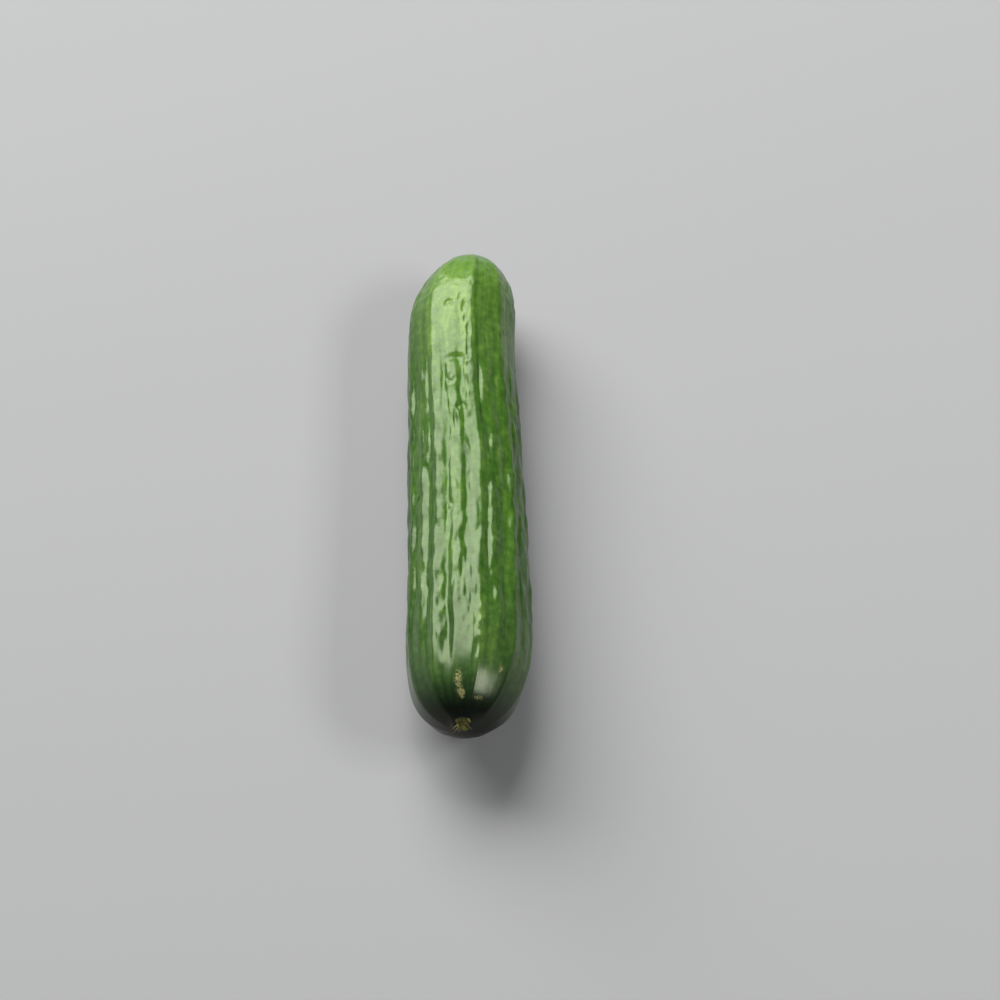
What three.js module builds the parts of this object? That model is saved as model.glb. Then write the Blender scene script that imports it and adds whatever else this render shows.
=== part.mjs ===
// A short smooth-skinned cucumber, picked and lying on its belly. Millimetres, +Z up.
// The long axis runs along Y, with the stem end at -Y and the blossom end at +Y.
// It grew as one piece, so it is one solid: a turned body whose skin is then raised and sunk by
// formulas into ribs, wrinkles, pebbles, warts and the scars at the two ends.
import * as THREE from "three";

// Driving dimensions
const LENGTH = 160;
const STEM_SIDE_RADIUS = 18.5; // the body's radius, carried on to the stem tip
const BLOSSOM_SIDE_RADIUS = 15.2;
const WAIST = 0.4; // how much slimmer the middle is than those two radii make it
// A rounded end. A higher power makes it blunter, and a higher closing makes its tip more pointed
const STEM_CAP = { length: 52, power: 4.1, closing: 0.5 };
const BLOSSOM_CAP = { length: 23.7, power: 2, closing: 0.528 };
// How far the axis strays to the right, at equal steps from the stem tip to the blossom tip
const SIDEWAYS = [-0.7, 0.4, 0.2, -0.6, -1.5, -2.2, 0.4];
// The belly is a very shallow arc that touches the surface at REST_Y and rises towards the ends
const REST_Y = -4;
const END_RISE = 1.4;
const STEM_LIFT = { height: 2.5, length: 38 }; // the stem tip turns up a little more
const PRESSED_IN = 0.35; // how deep the resting spot is flattened

// Ribs, as degrees round from the top towards +X, with the skin between two ribs nearly flat. The
// rib nearest the top is sharper than the others
const RIBS = [-170, -134, -100, -68, -32, 13, 48, 84, 118, 152];
const SHARP_RIB = 13;
const RIB_ROUNDING = { sharp: 0.2, soft: 0.5 };
const FACET_DEPTH = 0.5;
const WELT = { height: 0.2, width: 4 };
// Ribs, wrinkles and pebbles don't run dead straight: slow waves along the body turn them by this
// many degrees
const WANDER = [
  { degrees: 2.6, waves: 1.3, start: 0.6 },
  { degrees: 1.3, waves: 3.1, start: 2 },
];
// Wrinkles run along the body in flat-topped rows
const WRINKLE_ROWS = 18;
const WRINKLE = { height: 0.6, lowest: 0.5, flatness: 1.7, middle: 0.55 };
// Slow waves bend the wrinkles sideways, shift them a little more, and make them swell and fade
const BENDING = { rows: 8, steps: 11, kind: 21, amount: 0.45 };
const SHIFTING = { rows: 16, steps: 30, kind: 22, amount: 0.15 };
const SWELLING = { rows: 12, steps: 16, kind: 23, faint: 0.15, full: 0.7 };
// Long pebbles ride on the rows, parted by creases. They vary in height and stray from an even
// grid, and a squeeze below 1 makes them long
const PEBBLE_STEPS = 15;
const PEBBLE = { height: 0.45, lowest: 0.45, squeeze: 0.5, crease: 0.4, across: 0.5, onward: 0.8 };
// Warts stand singly: each is a small dome inside a shallow ring
const WART_ROWS = 11;
const WART_STEPS = 14;
const WART_SHARE = 0.22; // how many places of the grid have one
const WART_KIND = 45;
const WART = { radius: 1.5, spread: 0.5, height: 0.3, stray: 0.6, ringDepth: 0.25, ringAway: 1.4 };
// Scars: a dish inside a raised rim, with its middle this far to the right of and above the axis
const STEM_SCAR = { radius: 2.3, depth: 0.6, rim: 0.4, rimWidth: 1, right: -0.4, up: 3.8 };
const BLOSSOM_SCAR = { radius: 1.7, depth: 0.35, rim: 0.3, rimWidth: 0.8, right: 0, up: 0 };

// Where each kind of relief sets in, as shares of the length from the stem tip
const WRINKLES_FROM = [0.07, 0.2];
const PEBBLES_FROM = [0.12, 0.3];
const WARTS_FROM = [0.2, 0.3];
// Towards the blossom end the skin is smoother
const SMOOTH_END = { from: 0.66, to: 0.8, left: 0.2 };
// The belly is smooth up to these angles from its lowest line
const BELLY = [12, 34];

// Mesh steps: round the body, along each cap, and between the caps
const ROUND = WRINKLE_ROWS * 5;
const TIP_ZONE = 14;
const STEM_RINGS = 14;
const MIDDLE_RINGS = 41;
const BLOSSOM_RINGS = 12;
const TIP_CROWDING = 1.3; // rings crowd towards the tips, where the scars are

const SKIN = { color: 0x4b7030, roughness: 0.3, metalness: 0 };

const { lerp, smoothstep, degToRad, radToDeg, euclideanModulo } = THREE.MathUtils;

// A repeatable number from 0 to 1 for each cell of a grid
function scatter(row, step, kind) {
  const wave = Math.sin(row * 127.1 + step * 311.7 + kind * 74.7) * 43758.5453;
  return wave - Math.floor(wave);
}

// Those numbers joined into slow waves from 0 to 1, which meet themselves after a full turn
function waves({ rows, steps, kind }, along, angle) {
  const u = (angle / 360) * rows;
  const v = along * steps;
  const row = Math.floor(u);
  const step = Math.floor(v);
  const across = smoothstep(u - row, 0, 1);
  const onward = smoothstep(v - step, 0, 1);
  const corner = (i, j) => scatter(euclideanModulo(i, rows), j, kind);
  return lerp(
    lerp(corner(row, step), corner(row + 1, step), across),
    lerp(corner(row, step + 1), corner(row + 1, step + 1), across),
    onward,
  );
}

// 0 at the stem tip and 1 at the blossom tip
const share = (y) => y / LENGTH + 0.5;

function plainRadius(y) {
  const along = share(y);
  const slimmer = WAIST * 4 * along * (1 - along);
  return lerp(STEM_SIDE_RADIUS, BLOSSOM_SIDE_RADIUS, along) - slimmer;
}

// How much of the plain radius a rounded end leaves, at a distance from its tip
function capShare(cap, fromTip) {
  if (fromTip >= cap.length) return 1;
  const inward = 1 - fromTip / cap.length;
  return (1 - inward ** cap.power) ** cap.closing;
}

const bodyRadius = (y) =>
  plainRadius(y) *
  capShare(STEM_CAP, LENGTH / 2 + y) *
  capShare(BLOSSOM_CAP, LENGTH / 2 - y);

// The outline from tip to tip, for turning round the long axis
function outline() {
  const fromTip = (rings) =>
    Array.from({ length: rings }, (_, i) => {
      const turn = ((i / rings) ** TIP_CROWDING * Math.PI) / 2;
      return TIP_ZONE * (1 - Math.cos(turn));
    });
  const tip = LENGTH / 2;
  const stem = fromTip(STEM_RINGS).map((away) => away - tip);
  const blossom = fromTip(BLOSSOM_RINGS).map((away) => tip - away);
  const middle = Array.from({ length: MIDDLE_RINGS + 1 }, (_, i) =>
    lerp(TIP_ZONE - tip, tip - TIP_ZONE, i / MIDDLE_RINGS),
  );
  const heights = [...stem, ...middle, ...blossom.reverse()];
  return heights.map((y) => new THREE.Vector2(bodyRadius(y), y));
}

const wander = (along) =>
  WANDER.reduce(
    (sum, { degrees, waves: count, start }) =>
      sum + degrees * Math.sin(2 * Math.PI * count * along + start),
    0,
  );

// The skin between two ribs sinks towards a flat face, and each rib carries a thin raised welt. The
// welts are lower where the skin is smoother, but not on the sharp rib
function ribs(angle, smoother) {
  let below = RIBS.length - 1;
  while (below >= 0 && RIBS[below] > angle) below -= 1;
  const from = below < 0 ? RIBS.at(-1) - 360 : RIBS[below];
  const to = below === RIBS.length - 1 ? RIBS[0] + 360 : RIBS[below + 1];
  const nearest = angle - from < to - angle ? from : to;
  const away = Math.abs(angle - nearest) / ((to - from) / 2);
  const rounding = nearest === SHARP_RIB ? RIB_ROUNDING.sharp : RIB_ROUNDING.soft;
  const rounded = (x) => Math.hypot(x, rounding) - rounding;
  const sunk = FACET_DEPTH * (1 - (1 - rounded(away) / rounded(1)) ** 2);
  const welt = WELT.height * Math.exp(-(((angle - nearest) / WELT.width) ** 2));
  return welt * (nearest === SHARP_RIB ? 1 : smoother) - sunk;
}

// Wrinkles are waves round the body, half a wave on from the top
function wrinkles(along, angle) {
  const turns =
    (angle / 360) * WRINKLE_ROWS +
    0.5 +
    BENDING.amount * (waves(BENDING, along, angle) - 0.5) +
    SHIFTING.amount * (waves(SHIFTING, along, angle) - 0.5);
  const crest = 0.5 + 0.5 * Math.cos(2 * Math.PI * turns);
  const swelling = smoothstep(waves(SWELLING, along, angle), SWELLING.faint, SWELLING.full);
  const flatTopped = 1 - (1 - crest) ** WRINKLE.flatness - WRINKLE.middle;
  return WRINKLE.height * lerp(WRINKLE.lowest, 1, swelling) * flatTopped;
}

// Each place of a grid holds one pebble, and each row starts at its own place. The crease runs where
// two pebbles are equally near
function pebbles(along, angle) {
  const u = (angle / 360) * WRINKLE_ROWS;
  let first = Infinity;
  let second = Infinity;
  let tall = 0;
  for (let row = Math.floor(u) - 1; row <= Math.floor(u) + 1; row += 1) {
    const cell = euclideanModulo(row, WRINKLE_ROWS);
    const v = along * PEBBLE_STEPS + scatter(cell, 0, 8);
    for (let step = Math.floor(v) - 2; step <= Math.floor(v) + 2; step += 1) {
      const across = row + 0.5 + PEBBLE.across * (scatter(cell, step, 1) - 0.5) - u;
      const onward = step + 0.5 + PEBBLE.onward * (scatter(cell, step, 2) - 0.5) - v;
      const away = Math.hypot(across, onward * PEBBLE.squeeze);
      if (away < first) {
        second = first;
        first = away;
        tall = lerp(PEBBLE.lowest, 1, scatter(cell, step, 3));
      } else if (away < second) {
        second = away;
      }
    }
  }
  const crown = smoothstep(second - first, 0, PEBBLE.crease);
  return PEBBLE.height * (tall * crown - 0.5);
}

function warts(along, angle, radius) {
  const u = (angle / 360) * WART_ROWS;
  const v = along * WART_STEPS;
  const rowWidth = (2 * Math.PI * radius) / WART_ROWS;
  const stepLength = LENGTH / WART_STEPS;
  let height = 0;
  for (let row = Math.floor(u) - 1; row <= Math.floor(u) + 1; row += 1) {
    for (let step = Math.floor(v) - 1; step <= Math.floor(v) + 1; step += 1) {
      const cell = euclideanModulo(row, WART_ROWS);
      if (scatter(cell, step, WART_KIND) > WART_SHARE) continue;
      const middle = [row, step].map(
        (place, i) =>
          place + 0.5 + WART.stray * (scatter(cell, step, WART_KIND + 1 + i) - 0.5),
      );
      const across = (middle[0] - u) * rowWidth;
      const onward = (middle[1] - v) * stepLength;
      const size = WART.radius * (1 + WART.spread * (scatter(cell, step, WART_KIND + 3) - 0.5));
      const away = Math.hypot(across, onward) / size;
      const dome = Math.exp(-(away ** 4));
      const ring = Math.exp(-(((away - WART.ringAway) * 3) ** 2));
      height += WART.height * (dome - WART.ringDepth * ring);
    }
  }
  return height;
}

// A scar's dish and rim, at a distance and an angle round the axis
function scarRelief(scar, radius, angle) {
  const across = radius * Math.sin(degToRad(angle)) - scar.right;
  const above = radius * Math.cos(degToRad(angle)) - scar.up;
  const away = Math.hypot(across, above);
  const rim = Math.exp(-(((away - scar.radius) / scar.rimWidth) ** 2));
  return scar.rim * rim - scar.depth * (1 - smoothstep(away, 0.55 * scar.radius, scar.radius));
}

// How far the skin stands out at a place on the turned body
function relief(y, radius, angle) {
  const along = share(y);
  const turned = euclideanModulo(angle + wander(along) + 180, 360) - 180;
  const slim = radius / plainRadius(y); // relief fades as the rows close in on a tip
  const offBelly = smoothstep(180 - Math.abs(angle), ...BELLY);
  const smoother = lerp(1, SMOOTH_END.left, smoothstep(along, SMOOTH_END.from, SMOOTH_END.to));
  const wrinkled = wrinkles(along, turned) * smoothstep(along, ...WRINKLES_FROM);
  const pebbled = pebbles(along, turned) * smoothstep(along, ...PEBBLES_FROM);
  const warted = warts(along, angle, Math.max(radius, 1)) * smoothstep(along, ...WARTS_FROM);
  const skin =
    ribs(turned, smoother) * slim ** 2 +
    (wrinkled + pebbled) * smoother * slim ** 3 +
    warted * smoothstep(slim, 0.5, 0.9);
  const scar = scarRelief(y < 0 ? STEM_SCAR : BLOSSOM_SCAR, radius, angle);
  return skin * offBelly + scar;
}

const sideways = new THREE.SplineCurve(
  SIDEWAYS.map((x, i) => new THREE.Vector2(i, x)),
);

// The axis height that lays the belly on the surface
function axisHeight(y) {
  const bow = END_RISE / (LENGTH / 2 - Math.abs(REST_Y)) ** 2;
  const turnUp = Math.max(0, 1 - (LENGTH / 2 + y) / STEM_LIFT.length);
  return (
    plainRadius(y) +
    bow * (y - REST_Y) ** 2 +
    STEM_LIFT.height * turnUp ** 3 -
    PRESSED_IN
  );
}

// The turned body, with its skin raised, its axis bent and its resting spot flattened
function cucumberSolid() {
  const body = new THREE.LatheGeometry(outline(), ROUND);
  const places = body.attributes.position;
  const point = new THREE.Vector3();
  const outward = new THREE.Vector3();
  for (let i = 0; i < places.count; i += 1) {
    point.fromBufferAttribute(places, i);
    outward.fromBufferAttribute(body.attributes.normal, i);
    const radius = Math.hypot(point.x, point.z);
    if (radius < 1e-6) outward.set(0, Math.sign(point.y), 0);
    const angle = radToDeg(Math.atan2(point.x, point.z));
    const y = point.y;
    point.addScaledVector(outward, relief(y, radius, angle));
    point.x += sideways.getPoint(share(y)).y;
    point.z = Math.max(0, point.z + axisHeight(y));
    places.setXYZ(i, point.x, point.y, point.z);
  }
  body.deleteAttribute("uv");
  body.computeVertexNormals();
  return body;
}

const cucumber = new THREE.Mesh(
  cucumberSolid(),
  new THREE.MeshStandardMaterial(SKIN),
);
cucumber.name = "cucumber";

const part = new THREE.Group();
part.add(cucumber);

export default part;
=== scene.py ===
# %% [markdown]
# # A short cucumber, lying on its belly
#
# A cucumber is one grown piece, so this lesson has one large mesh, the skin, and a few small ones
# that sit on it: the dry scar where the stem was cut, its loose fibres, and the pale scar that
# the flower left at the other end. It could be sculpted by hand. Here it is built from formulas,
# so that every size stays a named number and the ends, ribs and wrinkles can be changed one by one.
#
# The cucumber's own sizes are in millimetres, and its points become metres on their way into
# Blender. The floor, the lights and the camera are in metres from the start. The frame is that of
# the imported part: +Y runs from the stem end to the blossom end, +Z is up, and the origin is under
# the middle of the belly.

# %% Load the frame
import math

import bmesh
import bpy
import numpy as np
from mathutils import Matrix, Vector


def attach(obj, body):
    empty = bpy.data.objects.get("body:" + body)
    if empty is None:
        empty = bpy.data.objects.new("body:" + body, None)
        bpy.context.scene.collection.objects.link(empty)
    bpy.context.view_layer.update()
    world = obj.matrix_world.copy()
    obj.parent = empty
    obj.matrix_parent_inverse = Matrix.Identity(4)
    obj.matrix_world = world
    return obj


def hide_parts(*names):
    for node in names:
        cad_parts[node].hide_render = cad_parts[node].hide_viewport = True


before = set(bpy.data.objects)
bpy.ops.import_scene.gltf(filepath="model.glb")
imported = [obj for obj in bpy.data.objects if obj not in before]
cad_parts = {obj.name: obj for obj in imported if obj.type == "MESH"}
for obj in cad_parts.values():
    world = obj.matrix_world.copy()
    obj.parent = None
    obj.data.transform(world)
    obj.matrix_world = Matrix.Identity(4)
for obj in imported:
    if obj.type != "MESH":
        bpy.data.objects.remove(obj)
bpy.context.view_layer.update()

MM = 0.001

# %% [markdown]
# ## The body's outline
#
# A cucumber is close to a turned shape. Its radius falls slowly from the stem side to the blossom
# side, and each end closes with its own rounding: the stem end is blunt, the blossom end more
# pointed. A power of 2 closed at 0.5 would give half an ellipse. A higher power keeps the body
# full for longer and then turns in more sharply, and a higher closing makes the tip more pointed.
#
# A drawn curve could be turned round the axis too. A formula gives the radius at any place, and
# the relief and the scars need it there later.

# %% Outline
LENGTH = 160.0
HALF = LENGTH / 2
STEM_RADIUS, BLOSSOM_RADIUS, WAIST = 18.5, 15.2, 0.4
STEM_CAP, BLOSSOM_CAP = (52.0, 4.1, 0.5), (23.7, 2.0, 0.528)


def plain_radius(y):
    t = y / LENGTH + 0.5
    return STEM_RADIUS + (BLOSSOM_RADIUS - STEM_RADIUS) * t - WAIST * 4 * t * (1 - t)


def cap_share(cap, from_tip):
    length, power, closing = cap
    inward = np.clip(1 - from_tip / length, 0, 1)
    return np.clip(1 - inward**power, 0, 1) ** closing


def body_radius(y):
    return plain_radius(y) * cap_share(STEM_CAP, HALF + y) * cap_share(BLOSSOM_CAP, HALF - y)


for y in (-79, -60, 0, 60, 79):
    print("radius at", y, "mm:", round(float(body_radius(np.float64(y))), 2))

# %% [markdown]
# ## The axis
#
# No cucumber grows dead straight. The axis strays a little to the sides, through a few places that
# a smooth curve joins, and rises towards both ends, so that the belly touches only in the middle.
# A curve modifier could bend a straight body. Moving each ring by a formula does the same and
# leaves the rings upright, which keeps the belly easy to press flat.

# %% Axis
SIDEWAYS = np.array([-0.7, 0.4, 0.2, -0.6, -1.5, -2.2, 0.4])
REST_Y, END_RISE, PRESSED_IN = -4.0, 1.4, 0.35
STEM_LIFT, STEM_LIFT_LENGTH = 2.5, 38.0


def sideways(t):
    last = len(SIDEWAYS) - 1
    spot = np.clip(t, 0, 1) * last
    k = np.minimum(np.floor(spot).astype(int), last)
    w = spot - k
    a, b = SIDEWAYS[np.maximum(k - 1, 0)], SIDEWAYS[k]
    c, d = SIDEWAYS[np.minimum(k + 1, last)], SIDEWAYS[np.minimum(k + 2, last)]
    start, end = (c - a) / 2, (d - b) / 2
    cubic = 2 * b - 2 * c + start + end
    square = 3 * c - 3 * b - 2 * start - end
    return cubic * w**3 + square * w**2 + start * w + b


def axis_height(y):
    bow = END_RISE / (HALF - abs(REST_Y)) ** 2
    turn_up = np.maximum(0, 1 - (HALF + y) / STEM_LIFT_LENGTH)
    return plain_radius(y) + bow * (y - REST_Y) ** 2 + STEM_LIFT * turn_up**3 - PRESSED_IN


print("axis height, mm:", [round(float(axis_height(np.float64(y))), 1) for y in (-80, -4, 80)])

# %% [markdown]
# ## Ribs
#
# Ten bundles of fibre run from end to end just under the skin. Each lifts the skin into a soft
# rib, and between two ribs the skin is flatter than a circle. The angles are measured from the
# top towards +X, and they are uneven because they grew that way. The rib nearest the top is
# sharper than the others: the light falls off along it in one straight line. A ten-sided bar with
# rounded edges would be too regular, so the depth is worked out from the angle to the nearest rib.

# %% Ribs
RIBS = np.array([-170, -134, -100, -68, -32, 13, 48, 84, 118, 152], float)
FACET_DEPTH = 0.5
SHARP_RIB, SHARP_ROUNDING, SOFT_ROUNDING = 13, 0.2, 0.5
WELT_HEIGHT, WELT_WIDTH = 0.2, 4.0


def wander(t):
    return 2.6 * np.sin(2 * np.pi * 1.3 * t + 0.6) + 1.3 * np.sin(2 * np.pi * 3.1 * t + 2)


def ribs(angle, welted):
    below = np.searchsorted(RIBS, angle, side="right") - 1
    around = np.concatenate([[RIBS[-1] - 360], RIBS, [RIBS[0] + 360]])
    start, end = around[below + 1], around[below + 2]
    from_middle = np.abs(angle - (start + end) / 2) / ((end - start) / 2)
    rib = np.where(angle - start < end - angle, start, end)
    rounding = np.where(rib == SHARP_RIB, SHARP_ROUNDING, SOFT_ROUNDING)
    from_rib = (np.hypot(1 - from_middle, rounding) - rounding) / (np.hypot(1, rounding) - rounding)
    sunk = FACET_DEPTH * (1 - (1 - from_rib) ** 2)
    welt = WELT_HEIGHT * np.exp(-(((angle - rib) / WELT_WIDTH) ** 2))
    return welt * np.where(rib == SHARP_RIB, 1, welted) - sunk


print("on a rib and between two, mm:", ribs(np.array([13.0, 30.5]), 1).round(2))

# %% [markdown]
# ## Wrinkles, pebbles and warts
#
# The skin is wrinkled along the body: narrow rows that wander, swell and fade. Shallow dips break
# each row into long pebbles. Both are laid on a grid of cells around the body. A repeatable
# scatter gives each cell its own number, and joining those numbers smoothly gives slow waves.
# Bump in the material alone would leave the outline smooth, so all this moves the real surface.


# %% Helpers for scattered cells
def smooth(x, low, high):
    s = np.clip((x - low) / (high - low), 0, 1)
    return s * s * (3 - 2 * s)


def scatter(row, step, kind):
    wave = np.sin(row * 127.1 + step * 311.7 + kind * 74.7) * 43758.5453
    return wave - np.floor(wave)


def waves(angle, t, rows, steps, kind):
    """Slow waves from 0 to 1 over the skin, which meet themselves after a full turn."""
    u, v = angle / 360 * rows, t * steps
    i, j = np.floor(u), np.floor(v)
    a, b = smooth(u - i, 0, 1), smooth(v - j, 0, 1)
    row, next_row = np.mod(i, rows), np.mod(i + 1, rows)
    near = scatter(row, j, kind) * (1 - a) + scatter(next_row, j, kind) * a
    far = scatter(row, j + 1, kind) * (1 - a) + scatter(next_row, j + 1, kind) * a
    return near * (1 - b) + far * b


print("a slow wave:", waves(np.linspace(-180, 180, 7), np.full(7, 0.5), 6, 9, 1).round(2))

# %% [markdown]
# A row of wrinkles is a wave around the body. Slow waves bend the rows, shift them and make them
# swell and fade. A finer set of rows lies over the first, and the finest crinkles over both. Each
# slow wave is given as its rows around the body, its steps along it and the number of its scatter.

# %% Wrinkles
WRINKLE_ROWS, WRINKLE_HEIGHT, WRINKLE_BEND, WRINKLE_SHIFT = 18, 0.6, 0.45, 0.15
BENDING, SHIFTING, SWELLING = (8, 11, 21), (16, 30, 22), (12, 16, 23)
FINE_ROWS, FINE_HEIGHT, FINE_BEND, FINE_SHIFT = 41, 0.14, 0.9, 0.5
FINE_BENDING, FINE_SHIFTING, FINE_SWELLING = (10, 8, 26), (24, 40, 27), (14, 18, 28)
CRINKLE_HEIGHT, CRINKLING, FINE_CRINKLING = 0.12, (60, 70, 24), (110, 130, 25)


def wrinkles(t, angle):
    """The height of the rows in mm, and how deep in a valley each point lies."""
    bend = WRINKLE_BEND * (waves(angle, t, *BENDING) - 0.5)
    shift = 0.5 + bend + WRINKLE_SHIFT * (waves(angle, t, *SHIFTING) - 0.5)
    crest = 0.5 + 0.5 * np.cos(2 * np.pi * (angle / 360 * WRINKLE_ROWS + shift))
    strength = 0.5 + 0.5 * smooth(waves(angle, t, *SWELLING), 0.15, 0.7)
    height = WRINKLE_HEIGHT * strength * (1 - (1 - crest) ** 1.7 - 0.55)
    fine_bend = FINE_BEND * waves(angle, t, *FINE_BENDING)
    fine_shift = fine_bend + FINE_SHIFT * waves(angle, t, *FINE_SHIFTING)
    fine_crest = 0.5 + 0.5 * np.cos(2 * np.pi * (angle / 360 * FINE_ROWS + fine_shift))
    fine_strength = smooth(waves(angle, t, *FINE_SWELLING), 0.3, 0.7)
    height += FINE_HEIGHT * (fine_crest - 0.5) * fine_strength
    crinkles = waves(angle, t, *CRINKLING) + 0.6 * waves(angle, t, *FINE_CRINKLING) - 0.8
    return height + CRINKLE_HEIGHT * crinkles, 1 - crest


sample_t, sample_angle = np.meshgrid(np.linspace(0.3, 0.6, 60), np.arange(-90.0, 90.0, 2))
sample = wrinkles(sample_t, sample_angle)[0]
print("wrinkles from", round(float(sample.min()), 2), "to", round(float(sample.max()), 2), "mm")

# %% [markdown]
# A pebble fills one cell, pushed a little out of line. The crease runs where two pebbles are
# equally near. A step along the body counts for less than a step around it, so the pebbles come
# out long, and the crease between two rows is sharper than the dip within one. Each row starts at
# its own place, so that the dips of neighbouring rows don't line up into rings. Blender's own
# cell texture could make pebbles as well, but not with rows that each start somewhere else.

# %% Pebbles
PEBBLE_ROWS, PEBBLE_STEPS, PEBBLE_HEIGHT, PEBBLE_SQUEEZE = 18, 15, 0.45, 0.5
STRAY_ACROSS, STRAY_ALONG, CREASE_WIDTH = 0.5, 0.8, 0.4


def pebbles(t, angle):
    """The height of the pebbles in mm, and how deep in a crease each point lies."""
    u, v = angle / 360 * PEBBLE_ROWS, t * PEBBLE_STEPS
    first = np.full(u.shape, np.inf)
    second = first.copy()
    tall = np.zeros(u.shape)
    for i in (-1, 0, 1):
        for j in (-2, -1, 0, 1, 2):
            row = np.floor(u) + i
            cell = np.mod(row, PEBBLE_ROWS)
            started = v + scatter(cell, 0, 8)
            step = np.floor(started) + j
            across = row + 0.5 + STRAY_ACROSS * (scatter(cell, step, 1) - 0.5) - u
            onward = step + 0.5 + STRAY_ALONG * (scatter(cell, step, 2) - 0.5) - started
            away = np.hypot(across, onward * PEBBLE_SQUEEZE)
            closer = away < first
            second = np.where(closer, first, np.minimum(second, away))
            tall = np.where(closer, 0.45 + 0.55 * scatter(cell, step, 3), tall)
            first = np.where(closer, away, first)
    crown = smooth(second - first, 0, CREASE_WIDTH)
    return PEBBLE_HEIGHT * (tall * crown - 0.5), 1 - crown


sample = pebbles(sample_t, sample_angle)[0]
print("pebbles from", round(float(sample.min()), 2), "to", round(float(sample.max()), 2), "mm")

# %% [markdown]
# Here and there a wart is left from a spine that dropped off: a low bump in a ring-shaped dent.
# They show best where the wrinkles fade, near the blossom end. Separate little domes would show a
# seam around each one, so they are part of the relief too.

# %% Warts
WART_ROWS, WART_STEPS, WART_SHARE = 11, 14, 0.22
WART_RADIUS, WART_HEIGHT, WART_STRAY, WART_KIND = 1.0, 0.18, 0.6, 45
DENT_DEPTH, DENT_PLACE = 0.9, 1.1


def warts(t, angle, radius):
    u, v = angle / 360 * WART_ROWS, t * WART_STEPS
    row_width, step_length = 2 * np.pi * radius / WART_ROWS, LENGTH / WART_STEPS
    height = np.zeros(u.shape)
    for i in (-1, 0, 1):
        for j in (-1, 0, 1):
            row, step = np.floor(u) + i, np.floor(v) + j
            cell = np.mod(row, WART_ROWS)
            here = scatter(cell, step, WART_KIND) <= WART_SHARE
            stray_across = WART_STRAY * (scatter(cell, step, WART_KIND + 1) - 0.5)
            stray_along = WART_STRAY * (scatter(cell, step, WART_KIND + 2) - 0.5)
            across = (row + 0.5 + stray_across - u) * row_width
            onward = (step + 0.5 + stray_along - v) * step_length
            size = WART_RADIUS * (0.7 + 0.6 * scatter(cell, step, WART_KIND + 3))
            away = np.hypot(across, onward * 0.8) / size
            dent = DENT_DEPTH * np.exp(-((away - DENT_PLACE) ** 2) * 6)
            height += np.where(here, WART_HEIGHT * (np.exp(-(away**2) * 2.5) - dent), 0)
    return height


sample = warts(sample_t, sample_angle, STEM_RADIUS)
print("warts from", round(float(sample.min()), 2), "to", round(float(sample.max()), 2), "mm")

# %% [markdown]
# Some marks were seen on this very cucumber: pits and grooves, one short crease across, blisters
# along both sides, and rings where spines dropped off. Each mark is a row of where it is along the
# body in mm, which way round it in degrees, its half length and half width, and its depth, or with
# a minus its height. The skin around a groove bulges a little. A spine's ring has its size and
# depth, and the side where it is deepest, in degrees from the blossom end towards the right. They
# are listed one by one and not left to the scatter, because these are the ones that are noticed.

# %% Marks seen
MARKS = [
    # pits in a chain beside the sharp rib
    (57.0, -2, 1.3, 0.5, 0.26), (53.2, 3, 2.0, 0.6, 0.34), (49.4, 5, 1.6, 0.5, 0.3),
    (45.4, 8, 2.2, 0.55, 0.34), (41.2, 7, 1.5, 0.5, 0.28), (37.5, 7, 2.2, 0.5, 0.32),
    (32.2, 5, 1.6, 0.55, 0.3), (27.5, 4, 2.6, 0.6, 0.36), (23.5, 2, 1.5, 0.5, 0.3),
    # the crease across, with a lip
    (35.8, -6, 1.3, 2.8, 0.5), (35.4, -6, 0.6, 1.7, -0.26),
    # grooves on the back
    (30.2, -28, 8.0, 0.8, 0.36), (15.5, -9, 2.4, 0.6, 0.34), (14.9, 6, 1.9, 0.7, 0.32),
    (-12.0, -1, 7.0, 0.9, 0.3), (-25.0, -4, 3.6, 0.9, 0.42), (-34.2, -6, 3.0, 0.6, 0.34),
    (-37.0, 4, 3.6, 0.5, 0.26), (-43.5, 3, 3.6, 0.5, 0.2), (-42.0, -20, 21.0, 1.5, 0.5),
    (-27.0, -39, 24.0, 1.2, 0.4),
    # blisters on the side that faces right
    (34.8, 31, 2.0, 0.9, -0.4), (12.3, 20, 2.2, 0.8, -0.36), (7.6, 30, 2.2, 0.9, -0.42),
    (2.3, 24, 1.1, 0.8, -0.34), (-11.6, 22, 2.8, 1.0, -0.42), (-17.6, 25, 3.0, 0.9, -0.4),
    (-25.5, 26, 1.2, 1.1, -0.4), (-42.1, 27, 2.6, 0.8, -0.4), (-18.2, 46, 1.6, 0.7, -0.3),
    (-36.2, 48, 2.2, 0.7, -0.34), (48.1, 46, 1.2, 0.8, -0.26),
    # blisters on the side that faces left
    (33.0, -50, 3.6, 1.3, -0.34), (11.0, -50, 3.0, 1.2, -0.3), (-3.5, -51, 4.2, 1.4, -0.38),
    (-14.0, -50, 6.5, 1.3, -0.36), (-27.0, -49, 5.0, 1.3, -0.36), (-39.0, -51, 5.5, 1.2, -0.34),
    (-51.0, -53, 8.0, 1.1, -0.26),
    # grooves and dents near the stem
    (-58.0, -19, 9.0, 1.5, 0.5), (-53.0, 8, 13.0, 0.8, 0.34), (-38.0, -28, 2.4, 0.8, 0.3),
    (-45.5, -27, 2.2, 0.9, 0.34), (-52.0, -26, 2.8, 0.8, 0.3), (-60.5, -25, 3.0, 0.9, 0.3),
    (-45.0, 13, 1.7, 0.7, 0.32), (-50.5, 12, 1.4, 0.8, 0.32), (-55.0, 12, 1.6, 0.8, 0.34),
    (-60.5, 11, 2.4, 1.0, 0.36),
]
LONG_GROOVE = 6.0
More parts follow.
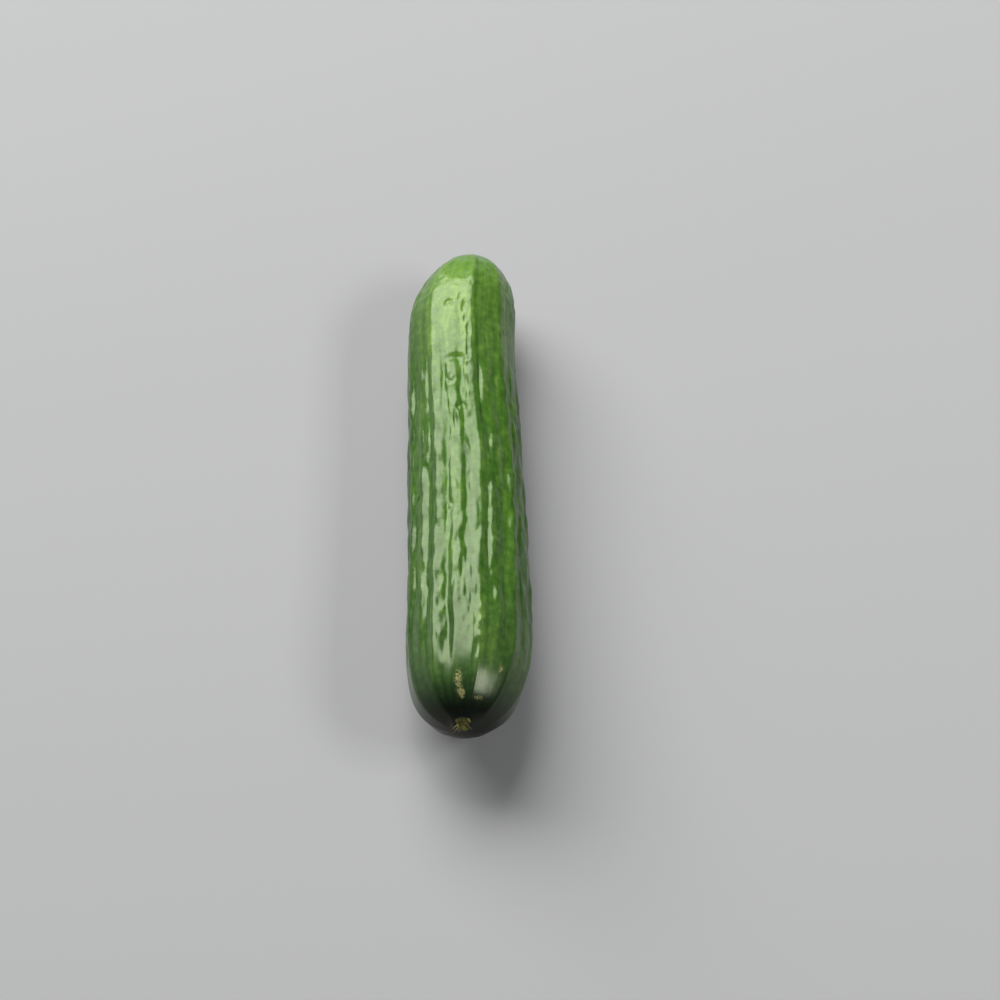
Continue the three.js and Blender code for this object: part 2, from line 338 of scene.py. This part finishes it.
PIT_EDGE, GROOVE_EDGE, BLISTER_EDGE = 2.2, 1.25, 3.0
BULGE, BULGE_PLACE = 0.25, 1.5
SPINE_MARKS = [
    (54.7, -14, 1.3, 0.6, 0), (28.9, -12, 1.4, 0.6, -130), (18.9, -2, 1.4, 0.6, -60),
]


def around(angle, middle, radius):
    """The distance round the body from an angle, in mm."""
    return np.radians(np.mod(angle - middle + 180, 360) - 180) * radius


def marks(y, angle, radius):
    height = np.zeros(y.shape)
    for middle_y, middle_angle, long, wide, depth in MARKS:
        away = np.hypot((y - middle_y) / long, around(angle, middle_angle, radius) / wide)
        bulge = BULGE * max(depth, 0) * np.exp(-((away - BULGE_PLACE) ** 2) * 4)
        edge = BLISTER_EDGE if depth < 0 else GROOVE_EDGE if long > LONG_GROOVE else PIT_EDGE
        height += bulge - depth * np.exp(-(away**edge))
    for middle_y, middle_angle, size, depth, deepest in SPINE_MARKS:
        onward, across = y - middle_y, around(angle, middle_angle, radius)
        away = np.hypot(onward, across) / size
        deep_side = 0.5 + 0.5 * np.cos(np.arctan2(across, onward) - math.radians(deepest))
        height -= depth * (0.15 + 0.85 * deep_side) * np.exp(-((away - 0.8) ** 2) * 9)
    return height


print("marks:", len(MARKS), "and", len(SPINE_MARKS), "rings of spines")

# %% [markdown]
# Close to the blossom end the rows have faded, and the skin has a fine grain of shallow dimples.
# Two sets of waves of different size make them, as one set alone would show its grid.

# %% Dimples
DIMPLE_HEIGHT, DIMPLING, FINE_DIMPLING = 0.32, (48, 110, 31), (80, 170, 32)


def dimples(t, angle, radius):
    rows = waves(angle, t, *DIMPLING) + 0.7 * waves(angle, t, *FINE_DIMPLING) - 0.85
    return DIMPLE_HEIGHT * rows * smooth(t, 0.8, 0.94) * smooth(radius, 4, 13)


sample = dimples(np.full(90, 0.95), np.arange(-90.0, 90.0, 2), 12)
print("dimples from", round(float(sample.min()), 2), "to", round(float(sample.max()), 2), "mm")

# %% [markdown]
# ## Scars
#
# At the stem end the skin closes round a small dish with a raised rim, where the stalk was cut
# off. It sits above the middle of the end. The flower leaves a smaller one at the other. A dish
# could be cut out of the end, but that leaves a hard edge. A dip in the skin stays round.

# %% Scar relief
STEM_SCAR = {"radius": 2.3, "depth": 0.6, "rim": 0.4, "rim_width": 1.0, "right": -0.4, "up": 3.8}
BLOSSOM_SCAR = {"radius": 1.7, "depth": 0.35, "rim": 0.3, "rim_width": 0.8, "right": 0.0, "up": 0.0}


def scar_relief(scar, radius, angle):
    side, top = radius * np.sin(np.radians(angle)), radius * np.cos(np.radians(angle))
    away = np.hypot(side - scar["right"], top - scar["up"])
    rim = np.exp(-(((away - scar["radius"]) / scar["rim_width"]) ** 2))
    dish = 1 - smooth(away, 0.55 * scar["radius"], scar["radius"])
    return scar["rim"] * rim - scar["depth"] * dish


print("relief in the stem scar's middle, mm:", round(float(scar_relief(STEM_SCAR, 3.8, -6.0)), 2))

# %% [markdown]
# ## All of the relief
#
# The parts are added up, and each is faded where the real skin hasn't got it. The belly is smooth
# where it lies. The rows and pebbles end short of the scars and nearly fade out towards the
# blossom end. On the slim tips everything gets lower, or it would fold over itself.

# %% Whole relief
SMOOTH_BELLY = (12, 34)
CALMER_END = (0.66, 0.8)


def relief(y, radius, angle):
    """How far the skin stands out of the turned body in mm, and how deep in a crease it lies."""
    t = y / LENGTH + 0.5
    turned = np.mod(angle + wander(t) + 180, 360) - 180
    slim = radius / plain_radius(y)
    off_belly = smooth(180 - np.abs(angle), *SMOOTH_BELLY)
    rougher = 1 - 0.8 * smooth(t, *CALMER_END)
    rough = rougher * off_belly * slim**3
    rows, valley = wrinkles(t, turned)
    cells, crease = pebbles(t, turned)
    skin = ribs(turned, rougher) * slim**2 * off_belly
    skin += (rows * smooth(t, 0.07, 0.2) + cells * smooth(t, 0.12, 0.3)) * rough
    bumps = warts(t, angle, np.maximum(radius, 1))
    skin += bumps * smooth(slim, 0.5, 0.9) * smooth(t, 0.2, 0.3) * off_belly
    skin += marks(y, angle, radius) + dimples(t, angle, radius)
    stem_end, blossom_end = (scar_relief(scar, radius, angle) for scar in (STEM_SCAR, BLOSSOM_SCAR))
    # how deep in a crease each point lies, kept for the painted shade in the creases
    painted_crease_shade = np.maximum(0.6 * valley, crease) * rough * smooth(t, 0.09, 0.27)
    return skin + np.where(y < 0, stem_end, blossom_end), painted_crease_shade


print("relief on top at mid-length, mm:", relief(np.zeros(1), np.full(1, 16.5), np.zeros(1))[0].round(2))

# %% [markdown]
# ## The skin mesh
#
# The mesh is a grid of rings and columns, closed by one point at each tip. Every point starts on
# the turned body, moves out or in by the relief, and then follows the bent axis. Points that
# would pass below the surface stay on it, which makes the small flat spot that the cucumber
# rests on. The rings stand closer together near the tips, where the radius changes fast. A
# displacement modifier could move the points as well, but a plain mesh needs nothing more done.

# %% Rings and columns
COLUMNS, MIDDLE_RINGS, TIP_RINGS, TIP_ZONE = 360, 200, 34, 14.0

turns = (np.arange(TIP_RINGS) / TIP_RINGS) ** 1.2 * np.pi / 2
tip_steps = TIP_ZONE * (1 - np.cos(turns))
middle_steps = np.linspace(TIP_ZONE - HALF, HALF - TIP_ZONE, MIDDLE_RINGS)
rings = np.concatenate([tip_steps - HALF, middle_steps, (HALF - tip_steps)[::-1]])
angles = np.arange(COLUMNS) / COLUMNS * 360 - 180
print("rings:", len(rings), "columns:", COLUMNS)

# %% [markdown]
# The relief stands square to the turned body, so a point also moves forward or back where the
# body gets thinner. The slope is measured from the radius a hair ahead and a hair behind.


# %% Place a point
def place(y, angle):
    """Points of the skin in mm, with how deep in a crease each one lies."""
    radius = body_radius(y)
    reach = 0.01
    ahead, behind = np.minimum(y + reach, HALF), np.maximum(y - reach, -HALF)
    slope = (body_radius(ahead) - body_radius(behind)) / (ahead - behind)
    out, forward = 1 / np.hypot(1, slope), -slope / np.hypot(1, slope)
    at_tip = radius < 1e-6
    out, forward = np.where(at_tip, 0, out), np.where(at_tip, np.sign(y), forward)
    height, crease = relief(y, radius, angle)
    r = radius + out * height
    x = r * np.sin(np.radians(angle)) + sideways(y / LENGTH + 0.5)
    z = np.maximum(0, r * np.cos(np.radians(angle)) + axis_height(y))
    return np.stack([x, y + forward * height, z], -1), crease


print("on top at mid-length, mm:", place(np.zeros(1), np.zeros(1))[0].round(1))

# %% [markdown]
# A few numbers are kept with each point for the paint: how far along the body it is, which way
# round it faces and how deep in a crease it lies, which the paint darkens as painted shade. The
# stripe beside the rib and the scuff below are two more.
#
# Beside the sharp rib the paint is darker in a narrow stripe, which fades towards the stem. How
# much of it there is at a point is worked out from how many degrees it lies from the stripe's
# middle. It could be painted by hand, but then it wouldn't wander together with the rib.

# %% Stripe beside the rib
RIB_STRIPE_OFFSET, RIB_STRIPE_WIDTH = 4.5, 2.4


def rib_stripe(t, angle):
    from_rib_stripe = (angle + wander(t) - SHARP_RIB - RIB_STRIPE_OFFSET) / RIB_STRIPE_WIDTH
    return np.exp(-(from_rib_stripe**2)) * smooth(t, 0.3, 0.75)


print("seam at the blossom end:", rib_stripe(np.full(3, 0.9), np.array([5.0, 15.0, 25.0])).round(2))

# %% [markdown]
# Near the stem the skin has a scuff: a net of dry tan cork where it was rubbed while growing. It
# is four soft patches. Each is given by its place along the body as a share of the length, which
# way round it is in degrees, and its half length and half width in the same measures.

# %% Scuff
SCUFFS = [
    (0.062, -8, 0.024, 7.0),
    (0.038, -3, 0.009, 5.5),
    (0.088, 38, 0.01, 4.0),
    (0.034, 20, 0.005, 12.0),
]


def scuff(t, angle):
    amount = np.zeros(t.shape)
    for place_t, place_angle, long, wide in SCUFFS:
        amount += np.exp(-(((t - place_t) / long) ** 2) - ((angle - place_angle) / wide) ** 2)
    return np.minimum(amount, 1)


print("scuff near the stem:", scuff(np.array([0.03, 0.06, 0.09]), np.full(3, -8.0)).round(2))

# %% [markdown]
# The points are numbered ring by ring. A face joins two neighbours of one ring with the two that
# follow them on the next ring. The last column meets the first one again. The tip points come
# after all the others, and each is the middle of a fan of triangles.


# %% Faces of the skin
def skin_faces(ring_count):
    ring, column = np.meshgrid(np.arange(ring_count - 1), np.arange(COLUMNS), indexing="ij")
    a = ring * COLUMNS + column
    b = ring * COLUMNS + (column + 1) % COLUMNS
    quads = np.stack([a, b, b + COLUMNS, a + COLUMNS], -1).reshape(-1, 4)
    here = np.arange(COLUMNS)
    beside = (here + 1) % COLUMNS
    last_ring, stem_tip = (ring_count - 1) * COLUMNS, ring_count * COLUMNS
    stem_fan = np.stack([np.full(COLUMNS, stem_tip), beside, here], -1)
    blossom_fan = np.stack([np.full(COLUMNS, stem_tip + 1), last_ring + here, last_ring + beside], -1)
    return quads.tolist() + stem_fan.tolist() + blossom_fan.tolist()


print("faces on three rings:", len(skin_faces(3)))

# %% [markdown]
# In Blender a mesh is only data. It shows up once an object holds it and the object is linked to
# the scene. Numbers kept with the points are attributes, which a material can read by name.


# %% Build the skin
def add_piece(name, data):
    piece = bpy.data.objects.new(name, data)
    bpy.context.scene.collection.objects.link(piece)
    return piece


def skin_mesh():
    y, angle = np.meshgrid(rings[1:-1], angles, indexing="ij")
    body, crease = place(y, angle)
    tips, tip_crease = place(np.array([-HALF, HALF]), np.zeros(2))
    points = np.concatenate([body.reshape(-1, 3), tips]) * MM
    mesh = bpy.data.meshes.new("skin")
    mesh.from_pydata(points.tolist(), [], skin_faces(len(y)))
    for polygon in mesh.polygons:
        polygon.use_smooth = True
    t = y / LENGTH + 0.5
    facts = {
        "along": (t, [0, 1]),
        "facing_x": (np.sin(np.radians(angle)), [0, 0]),
        "facing_z": (np.cos(np.radians(angle)), [0, 0]),
        "crease": (crease, tip_crease),
        "rib_stripe": (rib_stripe(t, angle), [0, 0]),
        "scuff": (scuff(t, angle), [0, 0]),
    }
    for name, (on_body, at_tips) in facts.items():
        values = np.concatenate([on_body.ravel(), at_tips])
        attribute = mesh.attributes.new(name, "FLOAT", "POINT")
        attribute.data.foreach_set("value", values.astype(np.float32))
    return mesh


skin = add_piece("skin", skin_mesh())
print("skin triangles:", sum(len(p.vertices) - 2 for p in skin.data.polygons))

# %% [markdown]
# ## Painting helpers
#
# A material is a small network of nodes. This helper adds one node, fills in its plain values and
# wires the rest, so that each material below reads from top to bottom. An input is given by its
# name, with a low line for each space, or by its number after a low line where names repeat.


# %% Node helpers
class Paint:
    """One material, and short ways to add the nodes that it needs."""

    def __init__(self, name):
        self.material = bpy.data.materials.new(name)
        self.material.use_nodes = True
        self.tree = self.material.node_tree
        self.shader = self.tree.nodes["Principled BSDF"]

    def add(self, kind, settings=None, **inputs):
        node = self.tree.nodes.new("ShaderNode" + kind)
        for key, value in (settings or {}).items():
            setattr(node, key, value)
        self.fill(node, inputs)
        return node

    def fill(self, node, inputs):
        for key, value in inputs.items():
            spot = int(key[1:]) if key[0] == "_" and key[1:].isdigit() else key.replace("_", " ")
            socket = node.inputs[spot]
            if isinstance(value, bpy.types.NodeSocket):
                self.tree.links.new(value, socket)
            else:
                socket.default_value = value

    def value(self, name):
        return self.add("Attribute", {"attribute_name": name}).outputs["Fac"]

    def math(self, operation, a, b=0.0):
        return self.add("Math", {"operation": operation}, _0=a, _1=b).outputs[0]

    def ramp(self, factor, stops):
        node = self.add("ValToRGB", Fac=factor)
        elements = node.color_ramp.elements
        while len(elements) < len(stops):
            elements.new(0.5)
        for element, (position, color) in zip(elements, stops):
            element.position = position
            element.color = color
        return node.outputs[0]

    def fade(self, factor, low, high):
        node = self.add("MapRange", {"interpolation_type": "SMOOTHSTEP"}, Value=factor)
        self.fill(node, {"From_Min": low, "From_Max": high})
        return node.outputs[0]

    def mix(self, factor, a, b, how="MIX"):
        node = self.add("Mix", {"data_type": "RGBA", "blend_type": how})
        self.fill(node, {"_0": factor, "_6": a, "_7": b})
        return node.outputs[2]

    def noise(self, where, scale, detail=3.0, rough=0.5):
        node = self.add("TexNoise", Vector=where, Scale=scale, Detail=detail, Roughness=rough)
        return node.outputs[0]


def screen_color(red, green, blue):
    """A color given as 0 to 255 on screen, in the linear numbers that Blender works with."""
    parts = [c / 255 for c in (red, green, blue)]
    return tuple(c / 12.92 if c <= 0.04045 else ((c + 0.055) / 1.055) ** 2.4 for c in parts) + (1,)


def grey(amount):
    return (amount, amount, amount, 1)


WHITE = grey(1)
print("a green in linear numbers:", [round(part, 3) for part in screen_color(75, 110, 44)])

# %% [markdown]
# ## The skin's paint
#
# The chlorophyll is densest at the stem end, so the color goes from a dark bottle green through a
# fresh green to a yellow-green at the blossom end. Over that run long irregular streaks, which
# close in on both tips. The near-black of the stem's end face is partly that dark green and partly
# painted shade. The paint is laid in a space where the body is a straight round bar of even
# thickness, and shortened: a round patch of noise there is a long streak here. A painted image would
# have to be wrapped round the body and would show where its edges meet.

# %% Skin material
paint = Paint("skin_wax")
along = paint.value("along")
around_x, around_z = paint.value("facing_x"), paint.value("facing_z")
crease = paint.value("crease")


def bar(length):
    join = paint.add("CombineXYZ", X=around_x, Y=paint.math("MULTIPLY", along, length), Z=around_z)
    return join.outputs[0]


base = paint.ramp(along, [
    # the first stops make the stem's end face near-black, partly dark green and partly painted shade
    (0.0, screen_color(13, 16, 14)),
    (0.02, screen_color(13, 18, 14)),
    (0.045, screen_color(34, 55, 28)),
    (0.08, screen_color(56, 84, 38)),
    (0.14, screen_color(66, 97, 42)),
    (0.3, screen_color(71, 104, 43)),
    (0.6, screen_color(75, 110, 44)),
    (0.8, screen_color(84, 119, 49)),
    (0.93, screen_color(86, 123, 45)),
    (1.0, screen_color(62, 106, 30)),
])
print("nodes for the base color:", len(paint.tree.nodes))

# %% [markdown]
# The streaks change the base color by a share of itself, so that they stay dark on the dark end
# and bright on the bright one. Broad bands, narrow streaks and fine threads are three noises of
# different width, and a last one mottles the skin between them. They calm down at the blossom end.
# Low on the flanks and on the belly the green is darkened, which is painted shade.

# %% Streaks over the base
bands = paint.fade(paint.noise(bar(0.8), scale=2.6, detail=2.0), 0.35, 0.65)
streaks = paint.fade(paint.noise(bar(1.1), scale=7.5, detail=3.0, rough=0.6), 0.3, 0.7)
threads = paint.fade(paint.noise(bar(2.2), scale=21.0, detail=3.0, rough=0.6), 0.3, 0.7)
mottle = paint.fade(paint.noise(bar(10.0), scale=8.0, detail=4.0, rough=0.6), 0.3, 0.7)
amount = paint.math("MULTIPLY", bands, 0.22)
for factor, share in ((streaks, 0.36), (threads, 0.1), (mottle, 0.32)):
    amount = paint.math("ADD", amount, paint.math("MULTIPLY", factor, share))
calm = paint.math("MULTIPLY", paint.fade(along, 0.84, 0.97), 0.75)
to_middle = paint.math("SUBTRACT", 0.52, amount)
amount = paint.math("ADD", amount, paint.math("MULTIPLY", calm, to_middle))
shade = paint.ramp(amount, [
    (0.15, (0.55, 0.6, 0.62, 1)),
    (0.5, grey(0.95)),
    (0.85, (1.7, 1.45, 1.3, 1)),
])
streaked = paint.mix(1.0, base, shade, "MULTIPLY")
# painted shade in the creases: deep in a crease the green is multiplied darker and yellower
painted_crease_shade = paint.mix(1.0, streaked, (0.75, 0.9, 0.6, 1), "MULTIPLY")
# a narrow stripe beside the sharp rib is multiplied darker
rib_stripe_tint = paint.mix(paint.value("rib_stripe"), WHITE, (0.6, 0.7, 0.6, 1))
with_rib_stripe = paint.mix(1.0, paint.mix(crease, streaked, painted_crease_shade), rib_stripe_tint, "MULTIPLY")
# painted shade: the flanks and the belly are darkened, fading out towards the back
flank_painted_shade = paint.mix(paint.fade(around_z, 0.25, 0.95), (0.5, 0.59, 0.51, 1), WHITE)
green_color = paint.mix(1.0, with_rib_stripe, flank_painted_shade, "MULTIPLY")
print("nodes with the streaks:", len(paint.tree.nodes))

# %% [markdown]
# The scuff's cork shows only as flecks, where a fine noise and the amount of scuff together pass
# a level. Cork is dry, so it is dull, and so is the skin close to the stem. The rest of the skin
# has a waxy sheen with a faint grain, which weakens towards the stem.

# %% Scuff, sheen and grain
flecks = paint.noise(bar(5.0), scale=58.0, detail=4.0, rough=0.75)
level = paint.math("ADD", flecks, paint.math("MULTIPLY", paint.value("scuff"), 0.345))
cork = paint.fade(level, 0.76, 0.86)
cork_share = paint.math("MULTIPLY", cork, 0.85)
skin_color = paint.mix(cork_share, green_color, screen_color(160, 153, 100))
sheen_rough = paint.ramp(along, [
    (0.0, grey(0.42)),
    (0.025, grey(0.262)),
    (0.06, grey(0.21)),
    (1.0, grey(0.21)),
])
rough_amount = paint.mix(cork, sheen_rough, grey(0.7))
fine = paint.noise(bar(9.0), scale=26.0, detail=3.0, rough=0.65)
grain_amount = paint.math("ADD", 0.25, paint.fade(along, 0.1, 0.35))
grain = paint.math("MULTIPLY", fine, grain_amount)
bump = paint.add("Bump", Strength=0.22, Distance=0.0003, Height=grain)
paint.fill(paint.shader, {
    "Base_Color": skin_color,
    "Normal": bump.outputs[0],
    "Roughness": rough_amount,
    "IOR": 1.4,
    "Specular_IOR_Level": 0.5,
    "Specular_Tint": (0.92, 1.0, 0.72, 1),
})
skin.data.materials.append(paint.material)
print("nodes in all:", len(paint.tree.nodes))

# %% [markdown]
# ## Dry scars at the two ends
#
# A scar is a cap of cork with a ragged edge. Its points are taken from the skin's own surface near
# the tip and lifted off it a little, so it sits in the dish and bends with it. The lift is rough,
# with folds that deepen towards the edge, and at the edge it falls below the skin. The scar could
# be painted on the skin, but dry cork stands up in ragged bits of its own, which catch the light.

# %% Points near a tip
STEM, BLOSSOM = -1, 1
TIP_REACH, TIP_SAMPLES = 8, 4000


def near_tip(end, right, up, lift):
    """Points this far right of and above the long axis, on the skin at one tip or lifted off it."""
    inward = np.linspace(0, TIP_REACH, TIP_SAMPLES)
    radius, angle = np.hypot(right, up), np.degrees(np.arctan2(right, up))
    y = end * (HALF - np.interp(radius, body_radius(end * (HALF - inward)), inward))
    return place(y, angle)[0] + np.array([0, end, 0]) * lift[..., None]


def near_tip_point(end, right, up, lift):
    return near_tip(end, np.full(1, right), np.full(1, up), np.full(1, lift))


stem_dish = near_tip_point(STEM, STEM_SCAR["right"], STEM_SCAR["up"], 0)[0]
print("middle of the stem scar, mm:", stem_dish.round(1))

# %% [markdown]
# The cap is made in circles around its middle. The circles are measured as shares of the way from
# the middle to the edge, so the ragged edge also shapes the circles inside it. A few arms pull
# the edge in and out, with finer rags over them, and the seed is the number of their scatter.

# %% Scar caps
SPOKES, CIRCLES = 96, 26
FINE_RAGS, EDGE_POWER, EDGE_SINK = 31, 6, 0.12


def scar_points(end, scar, radius, height, arms, seed):
    shares, turn = np.arange(1, CIRCLES + 1) / CIRCLES, np.arange(SPOKES) / SPOKES * 360 - 180
    share, angle = np.meshgrid(shares, turn, indexing="ij")
    nowhere = np.zeros(angle.shape)
    rags, fine_rags = (waves(angle, nowhere, rows, 1, seed) for rows in (arms, FINE_RAGS))
    reach = share * radius * (0.62 + 0.5 * rags + 0.16 * fine_rags)
    pucker = 0.5 + 0.5 * np.cos(np.radians(angle) * arms + 3 * share)
    grain = waves(angle, share, 24, 9, seed + 1) + 0.5 * waves(angle, share, 48, 18, seed + 2)
    lift = height * (0.35 + 0.5 * grain - 0.3 * pucker * share) * (1 - share**EDGE_POWER)
    lift -= EDGE_SINK * share**EDGE_POWER
    right = scar["right"] + reach * np.sin(np.radians(angle))
    up = scar["up"] + reach * np.cos(np.radians(angle))
    middle = near_tip_point(end, scar["right"], scar["up"], height * 0.3)
    return np.concatenate([middle, near_tip(end, right, up, lift).reshape(-1, 3)])


def scar_cap(name, end, scar, radius, height, arms, seed):
    shape = bmesh.new()
    dots = [shape.verts.new(p * MM) for p in scar_points(end, scar, radius, height, arms, seed)]
    for c in range(SPOKES):
        d = (c + 1) % SPOKES
        shape.faces.new([dots[0], dots[1 + c], dots[1 + d]][::end])
        for k in range(CIRCLES - 1):
            low, high = 1 + k * SPOKES, 1 + (k + 1) * SPOKES
            corners = [dots[low + c], dots[high + c], dots[high + d], dots[low + d]]
            shape.faces.new(corners[::end])
    bmesh.ops.recalc_face_normals(shape, faces=shape.faces)
    mesh = bpy.data.meshes.new(name)
    shape.to_mesh(mesh)
    shape.free()
    for polygon in mesh.polygons:
        polygon.use_smooth = True
    piece = add_piece(name, mesh)
    print(name, "mm:", [round(v / MM, 1) for v in piece.dimensions])
    return piece


stem_scar = scar_cap("stem_scar", STEM, STEM_SCAR, radius=2.4, height=0.55, arms=7, seed=41)
blossom_scar = scar_cap("blossom_scar", BLOSSOM, BLOSSOM_SCAR, radius=1.9, height=0.3, arms=5, seed=51)

# %% [markdown]
# A few torn fibres of the stalk still stick out of the stem scar. Each is a thin tapering thread
# that bends down a little. It is given by where it starts, to the right of and above the middle of
# the scar, which way it leans in degrees, and its length. Blender has hair for such things. A few
# short closed tubes are as good here, and other programs read them as they are.

# %% Torn fibres
FIBRES = [
    (-1.0, -1.1, -50, 2.5), (-0.5, -1.4, -25, 2.1), (0.1, -1.5, 20, 1.6), (-1.4, -0.3, -75, 2.4),
    (1.3, -0.4, 60, 1.9), (0.6, -1.3, 40, 1.4), (0.9, 0.7, 25, 1.0),
]
FIBRE_STEPS, FIBRE_SIDES, FIBRE_LIFT = 6, 8, 0.4
FIBRE_THICK, FIBRE_THIN, FIBRE_FLATNESS = 0.12, 0.02, 0.4


def fibre_rings(across, up, lean, long):
    """The points of one fibre in mm, ring by ring from the scar to its end."""
    right, top = STEM_SCAR["right"] + across, STEM_SCAR["up"] + up
    start = near_tip_point(STEM, right, top, FIBRE_LIFT)[0]
    sideward = math.sin(math.radians(lean)) * 0.8
    around_it = np.arange(FIBRE_SIDES) / FIBRE_SIDES * 2 * math.pi
    circle = [np.array([math.cos(a), FIBRE_FLATNESS * math.sin(a), math.sin(a)]) for a in around_it]
    for k in range(FIBRE_STEPS + 1):
        s = k / FIBRE_STEPS
        outward, upward = -0.85 + 0.4 * s, -0.25 - 0.5 * s
        middle = start + long * s * np.array([sideward, outward, upward])
        thick = FIBRE_THICK * (1 - s) ** 0.7 + FIBRE_THIN
        yield [middle + thick * offset for offset in circle]


def fibres():
    shape = bmesh.new()
    for fibre in FIBRES:
        made = [[shape.verts.new(p * MM) for p in ring] for ring in fibre_rings(*fibre)]
        for low, high in zip(made, made[1:]):
            for c in range(FIBRE_SIDES):
                d = (c + 1) % FIBRE_SIDES
                shape.faces.new([low[c], low[d], high[d], high[c]])
        shape.faces.new(made[0][::-1])
        shape.faces.new(made[-1])
    bmesh.ops.recalc_face_normals(shape, faces=shape.faces)
    mesh = bpy.data.meshes.new("stem_fibres")
    shape.to_mesh(mesh)
    shape.free()
    return add_piece("stem_fibres", mesh)


stem_fibres = fibres()
print("fibres:", len(FIBRES))

# %% [markdown]
# Cork is dull and uneven: darkest in the pits and palest on the raised grain. The stem scar still
# holds some green, and the blossom scar is dry and brown. One recipe serves both scars and the
# fibres, and each has three colors of its own: pit, plain and grain.


# %% Cork materials
def cork_material(name, pit, plain, grain):
    cork_paint = Paint(name)
    where = cork_paint.add("TexCoord").outputs["Object"]
    coarse = cork_paint.noise(where, scale=900.0, detail=4.0, rough=0.6)
    tone = cork_paint.ramp(coarse, [(0.35, pit), (0.5, plain), (0.66, grain)])
    fine_grain = cork_paint.noise(where, scale=3500.0, detail=2.0, rough=0.6)
    worn = cork_paint.mix(cork_paint.fade(fine_grain, 0.4, 0.7), tone, grain)
    color = cork_paint.mix(0.3, tone, worn)
    rough_bump = cork_paint.add("Bump", Strength=0.5, Distance=0.0002, Height=coarse)
    cork_paint.fill(cork_paint.shader, {
        "Base_Color": color,
        "Roughness": 0.75,
        "IOR": 1.4,
        "Normal": rough_bump.outputs[0],
    })
    return cork_paint.material


CORKS = [
    (stem_scar, "stem_cork", (30, 34, 18), (84, 86, 42), (158, 148, 66)),
    (stem_fibres, "fibre", (110, 104, 66), (150, 142, 96), (180, 170, 124)),
    (blossom_scar, "blossom_cork", (96, 74, 42), (160, 132, 84), (186, 160, 112)),
]
for piece, name, *tones in CORKS:
    piece.data.materials.append(cork_material(name, *(screen_color(*tone) for tone in tones)))
    print(piece.name, "is made of", name)

# %% [markdown]
# ## Floor, lights and camera
#
# The cucumber lies on a plain grey floor, large enough to fill the picture from every side. The
# floor is part of the stage and not of the cucumber.

# %% Floor
FLOOR_SIZE, FLOOR_SQUARES, FLOOR_GREY, FLOOR_ROUGHNESS = 40.0, 8, 0.34, 0.9

floor_shape = bmesh.new()
bmesh.ops.create_grid(
    floor_shape, x_segments=FLOOR_SQUARES, y_segments=FLOOR_SQUARES, size=FLOOR_SIZE
)
floor_mesh = bpy.data.meshes.new("floor")
floor_shape.to_mesh(floor_mesh)
floor_shape.free()
floor = add_piece("floor", floor_mesh)
floor_paint = Paint("floor")
floor_look = {"Base_Color": grey(FLOOR_GREY), "Roughness": FLOOR_ROUGHNESS}
floor_paint.fill(floor_paint.shader, floor_look)
floor.data.materials.append(floor_paint.material)
print("floor, m:", [round(v) for v in floor.dimensions])

# %% [markdown]
# The main light is a large soft panel high on the left and beyond the blossom end: its reflection
# is the long pale band on the cucumber. A small one high on the right gives the second patch near
# the stem. A faint even light from the world keeps the shadows from turning black. A lamp without
# any size would give only sharp dots on the wax.

# %% Lights
AIM = Vector((0, 0, 0.018))


def panel(name, lateral, forward, distance, across, lengthwise, power):
    """An area light seen from the cucumber at these two angles, facing it and square to its length."""
    side, tilt = math.radians(lateral), math.radians(forward)
    towards = Vector((math.sin(side) * math.cos(tilt), math.sin(tilt), math.cos(side) * math.cos(tilt)))
    right = Vector((math.cos(side), 0, -math.sin(side)))
    data = bpy.data.lights.new(name, "AREA")
    data.shape, data.size, data.size_y, data.energy = "RECTANGLE", across, lengthwise, power
    light = add_piece(name, data)
    facing = Matrix((right, towards.cross(right), towards)).transposed()
    light.matrix_world = Matrix.Translation(AIM + towards * distance) @ facing.to_4x4()
    print(name, "at", [round(v, 2) for v in light.matrix_world.translation], "m,", power, "W")


panel("key", lateral=-29.4, forward=40.6, distance=2.0, across=2.12, lengthwise=1.46, power=86)
panel("patch", lateral=45.9, forward=-10, distance=1.5, across=0.32, lengthwise=0.72, power=9)

world = bpy.data.worlds.new("studio")
world.use_nodes = True
background = world.node_tree.nodes["Background"]
background.inputs["Color"].default_value = (0.9, 0.95, 1, 1)
background.inputs["Strength"].default_value = 0.1
bpy.context.scene.world = world
bpy.context.scene.view_settings.view_transform = "Standard"

# %% [markdown]
# The camera looks along the cucumber from above the stem end. A long lens far away keeps the near
# end from looking larger than the far one. The distance follows from the lens and from how wide a
# stretch is to fill the picture.

# %% Camera
ELEVATION, LENS, SENSOR, SEEN_WIDTH = 58.0, 140.0, 36.0, 0.28113
LOOK_AT = Vector((0.00902, -0.00377, 0.018))

camera_data = bpy.data.cameras.new("camera")
camera_data.lens, camera_data.sensor_width = LENS, SENSOR
camera_data.clip_start, camera_data.clip_end = 0.05, 200
camera = add_piece("camera", camera_data)
back = Vector((0, -math.cos(math.radians(ELEVATION)), math.sin(math.radians(ELEVATION))))
camera.location = LOOK_AT + back * (SEEN_WIDTH * LENS / SENSOR)
camera.rotation_mode = "QUATERNION"
camera.rotation_quaternion = back.to_track_quat("Z", "Y")
bpy.context.scene.camera = camera
print("camera at", [round(v, 2) for v in camera.location], "m")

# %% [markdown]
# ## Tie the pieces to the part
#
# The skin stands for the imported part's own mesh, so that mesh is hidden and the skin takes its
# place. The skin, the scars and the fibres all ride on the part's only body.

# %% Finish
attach(skin, "root")
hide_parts("cucumber")
for piece in (stem_scar, stem_fibres, blossom_scar):
    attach(piece, "root")
